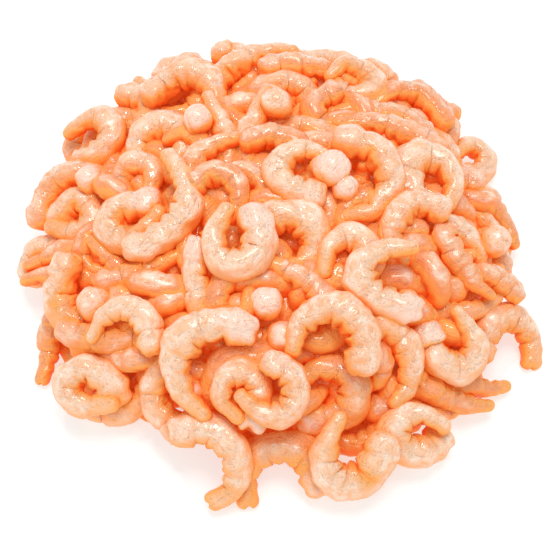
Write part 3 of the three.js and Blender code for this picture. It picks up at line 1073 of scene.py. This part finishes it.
def flesh(name, crest, warm, rosy, bias):
    """Cooked shrimp: pale where it is open to the sky, with painted shade making it warmer down its sides
    and in its gaps, really warmer along its belly and at its tail, and with a painted glow.
    """
    p = Paint(name)
    occlusion_shade, aside, back = p.split("ShaderNodeSeparateColor", p.attribute("paint", "Color"))
    pale, tail, seam = p.split("ShaderNodeSeparateXYZ", p.attribute("form", "Vector"))
    flow = p.attribute("flow", "Vector")
    broad = p.noise(flow, PATCH_NOISE)
    mottle = p.noise(flow, MOTTLE_NOISE, 4.0, 0.65)
    pinks = p.noise(p.moved(flow, 31.0), PINK_NOISE, 3.0, 0.6)
    # The open flesh: the kind's own two tones, milky white along the back (partly real milky flesh, partly
    # a painted highlight), and rosy patches
    colour = p.mix(p.ramp(mottle, 0.5, 0.66, 0.0, 0.5), crest, warm)
    milky_sheen = p.times(p.ramp(mottle, 0.58, 0.36), p.ramp(back, 0.3, 0.8, 0.1, 0.85))
    colour = p.mix(milky_sheen, colour, MILK_AND_SHEEN)
    pink = p.times(p.ramp(pinks, 0.46, 0.68), p.ramp(back, 0.3, 0.95, 0.15, rosy))
    colour = p.mix(pink, colour, ROSE)
    # Warmer and deeper step by step, from painted shade and real tone together, the deepest steps mostly
    # painted shade
    belly = p.times(p.math("SUBTRACT", 0.5, back), BELLY_SHARE)
    patches = p.times(p.math("SUBTRACT", broad, 0.5), PATCH_SHARE)
    shadow = p.total(p.times(occlusion_shade, OCCLUSION_SHADE_SHARE), p.times(aside, ASIDE_SHADE_SHARE))
    side = p.total(shadow, p.times(tail, TAIL_SHARE), belly, patches, bias)
    colour = p.mix(p.ramp(side, 0.04, 0.32), colour, warm)
    colour = p.mix(p.ramp(side, 0.24, 0.6, 0.0, 0.95), colour, AMBER)
    colour = p.mix(p.ramp(side, 0.62, 1.0, 0.0, 0.85), colour, CORAL)
    colour = p.mix(p.ramp(side, 0.98, 1.25, 0.0, 0.85), colour, DEEP_SHADE)
    # Pale head ends, thin lines and specks
    white = p.times(pale, p.ramp(side, 0.7, 0.1, 0.0, 0.75))
    colour = p.mix(white, colour, HEAD_WHITE)
    some = p.ramp(p.noise(p.moved(flow, 13.0), 0.3), 0.44, 0.6, 0.0, 0.45)
    threads = p.times(p.veins(flow, VEIN_NET), some)
    seams = p.times(p.ramp(seam, 0.5, 1.0), p.ramp(mottle, 0.36, 0.6, 0.0, 0.2))
    line = p.math("MAXIMUM", threads, seams)
    colour = p.mix(line, colour, VEIN)
    colour = p.mix(p.dots(p.stretched(flow, 0.7, 1.0, 1.0), 1.15, 0.19), colour, FLECK)
    colour = p.mix(p.dots(p.moved(flow, 51.0), 0.7, 0.17), colour, EMBER)
    # Painted glow standing in for light through the flesh, where the painted shade is deep and on its sides
    inner_glow = p.ramp(side, 0.4, 1.2, 0.0, PAINTED_GLOW_STRENGTH)
    rim_glow = p.ramp(aside, 0.2, 0.8, 0.0, RIM_GLOW_STRENGTH)
    # Creases and fibres, grain and soft lumps, with the lines a little sunk
    grain = p.noise(flow, GRAIN_NOISE, 2.0, 0.6)
    creases = p.noise(p.stretched(flow, 1.0, 0.3, 0.3), CREASE_NOISE, 4.0, 0.65)
    fibres = p.noise(p.stretched(flow, 0.25, 1.0, 1.0), FIBRE_NOISE)
    fine = p.total(p.times(creases, 0.4), p.times(fibres, 0.25), p.times(grain, 0.3))
    relief = p.math("SUBTRACT", p.total(fine, p.times(mottle, 1.2)), p.times(line, 0.06))
    strength = p.ramp(aside, 0.1, 0.7, 0.95, 0.2)
    bump = p.node("ShaderNodeBump", {"Strength": strength, "Distance": RELIEF, "Height": relief})
    # The coat is a wet film where the flesh faces up
    return p.finished({
        "Base Color": colour,
        "Roughness": p.ramp(mottle, 0.3, 0.7, 0.24, 0.42),
        "Specular IOR Level": 0.1,
        "Coat Weight": p.ramp(aside, 0.15, 0.65, 0.9, 0.0),
        "Coat IOR": 1.5,
        "Coat Roughness": 0.1,
        "Emission Color": PAINTED_GLOW,
        "Emission Strength": p.math("MAXIMUM", inner_glow, rim_glow),
        "Normal": bump.outputs["Normal"],
    })


def core_material():
    """Painted shade for the deepest gaps: deep orange, clouded."""
    p = Paint("core_painted_shade")
    spot = p.node("ShaderNodeTexCoord", {}).outputs["Object"]
    return p.finished({"Base Color": p.mix(p.noise(spot, 160, 3.0), DEEP_SHADE, CORAL), "Roughness": 0.5})


def floor_material():
    """Plain white, partly lit from itself so that the heap's glow doesn't colour it."""
    return Paint("floor_white").finished({
        "Base Color": (0.46, 0.5, 0.5, 1.0),
        "Roughness": 0.9,
        "Specular IOR Level": 0.1,
        "Emission Color": (1, 1, 1, 1),
        "Emission Strength": 0.56,
    })


# The mound that closes the deepest gaps: its depth and inset, and how far it is raised
HEART_DEPTH = 15.0
HEART_INSET = 18.0
HEART_RAISED = 1.0
HEART_RINGS = 16
HEART_SIDES = 48


def heart():
    """Points and faces of the mound."""
    points = []
    for k in range(HEART_RINGS):
        share = math.sin((k + 1) / HEART_RINGS * math.pi / 2)
        for j in range(HEART_SIDES):
            a = j * 2 * math.pi / HEART_SIDES
            out = share * (float(reach(a)) - HEART_INSET)
            x = out * math.cos(a)
            y = out * math.sin(a)
            points.append([x, y, float(mound(x, y, HEART_DEPTH, HEART_INSET)) + HEART_RAISED])
    top = len(points)
    points.append([0, 0, CROWN - HEART_DEPTH + HEART_RAISED])
    foot = len(points)
    last = (HEART_RINGS - 1) * HEART_SIDES
    points.extend([x, y, 0] for x, y, _ in points[last:top])
    under = len(points)
    points.append([0, 0, 0])
    faces = []
    for j in range(HEART_SIDES):
        n = (j + 1) % HEART_SIDES
        faces.append([top, j, n])
        for k in range(HEART_RINGS - 1):
            a = k * HEART_SIDES
            b = a + HEART_SIDES
            faces.append([a + j, b + j, b + n, a + n])
        faces.append([last + j, foot + j, foot + n, last + n])
        faces.append([foot + j, under, foot + n])
    return np.array(points, float), faces


# Seeds of the shrimps' unevenness
SHOWN_SEED = 1000
HIDDEN_SEED = 1500
LEVEL_SEEDS = 100


def lay_shown():
    """The shrimps that show, with the stations and radii that the hidden ones are pushed off."""
    groups = {"M": MIDDLE, "F": FRONT, "R": RIGHT, "U": UPPER, "L": LEFT, "B": BACK, "X": far_foot()}
    rows = [row for group in groups.values() for row in group]
    names = [(letter, k) for letter, group in groups.items() for k in range(len(group))]
    stations, radii, normals = settle(rows, CORE_DEPTH, CORE_INSET)
    given = zip(rows, stations, normals, names)
    return [Shrimp(*one, SHOWN_SEED + k) for k, one in enumerate(given)], stations, radii


def lay_hidden(stations, radii):
    """Layers of seeded shrimps under the ones that show, then the ring round the foot."""
    draw = draws(SEED + 1)
    levels = [(under_rows(count, down, draw), depth, inset) for count, down, depth, inset in UNDER_LAYERS]
    levels.append((foot_rows(draw), *FOOT_CORE))
    laid = []
    for level, (rows, depth, inset) in enumerate(levels):
        low, low_radii, normals = settle(rows, depth, inset, (stations, radii))
        for k, (row, spots, normal) in enumerate(zip(rows, low, normals)):
            edge = reach(np.arctan2(spots[:, 1], spots[:, 0])) - UNDER_EDGE
            if (np.hypot(spots[:, 0], spots[:, 1]) < edge).all():
                laid.append(Shrimp(row, spots, normal, None, HIDDEN_SEED + LEVEL_SEEDS * level + k))
        stations = np.concatenate([stations, low])
        radii = np.concatenate([radii, low_radii])
    return laid


# Kinds of shrimp that show: crest and warmer tone, how rosy, and how much warmer all over; the warmer tone
# is also the first step of the painted shade, and the last value shifts that painted shade too
KINDS = {
    "shrimp_cream": (CREAM, PEACH, 0.25, -0.08),
    "shrimp_peach": (linear(249, 198, 160), linear(248, 176, 122), 0.38, -0.02),
    "shrimp_rosy": (linear(248, 186, 144), linear(246, 162, 108), 0.5, 0.04),
}
# The highest tint of the first two kinds
CREAM_TINT = 0.36
PEACH_TINT = 0.76
# The hidden shrimps' tones and shift, warmer than those that show: painted shade for lying under them
UNDER_SHADED_KIND = (linear(247, 182, 138), linear(246, 150, 94), 0.5, 0.1)
# Rings and sides of a shrimp that shows and of a hidden one
TOP_DETAIL = (54, 26)
UNDER_DETAIL = (28, 13)


def kind_of(shrimp):
    if shrimp.tint < CREAM_TINT:
        return "shrimp_cream"
    if shrimp.tint < PEACH_TINT:
        return "shrimp_peach"
    return "shrimp_rosy"


def build_heap():
    """One piece for each kind of shrimp, one for the hidden ones, and the core."""
    shown, stations, radii = lay_shown()
    hidden = lay_hidden(stations, radii)
    core_points, core_faces = heart()
    tree = coarse_tree(shown + hidden, core_points, core_faces)
    rays = sky_rays(RAYS)
    batches = {name: Batch() for name in KINDS}
    for shrimp in shown:
        batches[kind_of(shrimp)].add(shrimp, *TOP_DETAIL, tree, rays)
    for name, tones in KINDS.items():
        batches[name].mesh(name, flesh(name + "_skin", *tones))
    under = Batch()
    for shrimp in hidden:
        under.add(shrimp, *UNDER_DETAIL, tree, rays)
    under.mesh("shrimp_under", flesh("under_shaded_skin", *UNDER_SHADED_KIND))
    heap_piece("heap_core", smooth_mesh("heap_core", core_points, core_faces, core_material()))


# Half the floor's side in metres
FLOOR = 3.0


def add_floor():
    corners = [(x * FLOOR, y * FLOOR, 0) for x, y in ((-1, -1), (1, -1), (1, 1), (-1, 1))]
    data = bpy.data.meshes.new("floor")
    data.from_pydata(corners, [], [(0, 1, 2, 3)])
    data.materials.append(floor_material())
    linked("floor", data)


WORLD_STRENGTH = 0.74
# Lamps: where, how broad and how strong, all aimed at the heap's middle
LAMPS = {
    "key": ((0.12, 0.1, 1.3), 0.5, 5.6),
    "sparkle": ((-0.2, 0.3, 0.9), 0.1, 1.5),
    "fill": ((-0.6, -0.8, 1.0), 0.9, 1.5),
}
HEAP_MIDDLE = (0, 0, 0.02)


def add_light():
    world = bpy.data.worlds.new("studio")
    bpy.context.scene.world = world
    world.use_nodes = True
    backdrop = world.node_tree.nodes["Background"]
    backdrop.inputs[0].default_value = (1, 1, 1, 1)
    backdrop.inputs[1].default_value = WORLD_STRENGTH
    for name, (spot, size, power) in LAMPS.items():
        lamp = bpy.data.lights.new(name, "AREA")
        lamp.shape = "DISK"
        lamp.size = size
        lamp.energy = power
        lit = linked(name, lamp)
        lit.location = spot
        way = Vector(HEAP_MIDDLE) - Vector(spot)
        lit.rotation_euler = way.to_track_quat("-Z", "Y").to_euler()


# The camera's distance in metres, its focal length and the image's side in pixels, the pixel
# that the origin falls on, and the sensor's width in mm
STAND = 0.45
FOCAL_PIXELS = 1340
IMAGE = 550
ORIGIN_PIXEL = (272, 261)
SENSOR = 36.0


def add_camera():
    camera = bpy.data.cameras.new("camera")
    camera.sensor_width = SENSOR
    camera.lens = SENSOR * FOCAL_PIXELS / IMAGE
    camera.shift_x = (IMAGE / 2 - ORIGIN_PIXEL[0]) / IMAGE
    camera.shift_y = (ORIGIN_PIXEL[1] - IMAGE / 2) / IMAGE
    camera.clip_start = 0.01
    camera.clip_end = 20
    eye = linked("camera", camera)
    eye.location = (0, -STAND * math.cos(TILT), STAND * math.sin(TILT))
    eye.rotation_euler = (math.pi / 2 - TILT, 0, 0)
    bpy.context.scene.camera = eye
    bpy.context.scene.view_settings.view_transform = "Standard"


build_heap()
add_floor()
add_light()
add_camera()
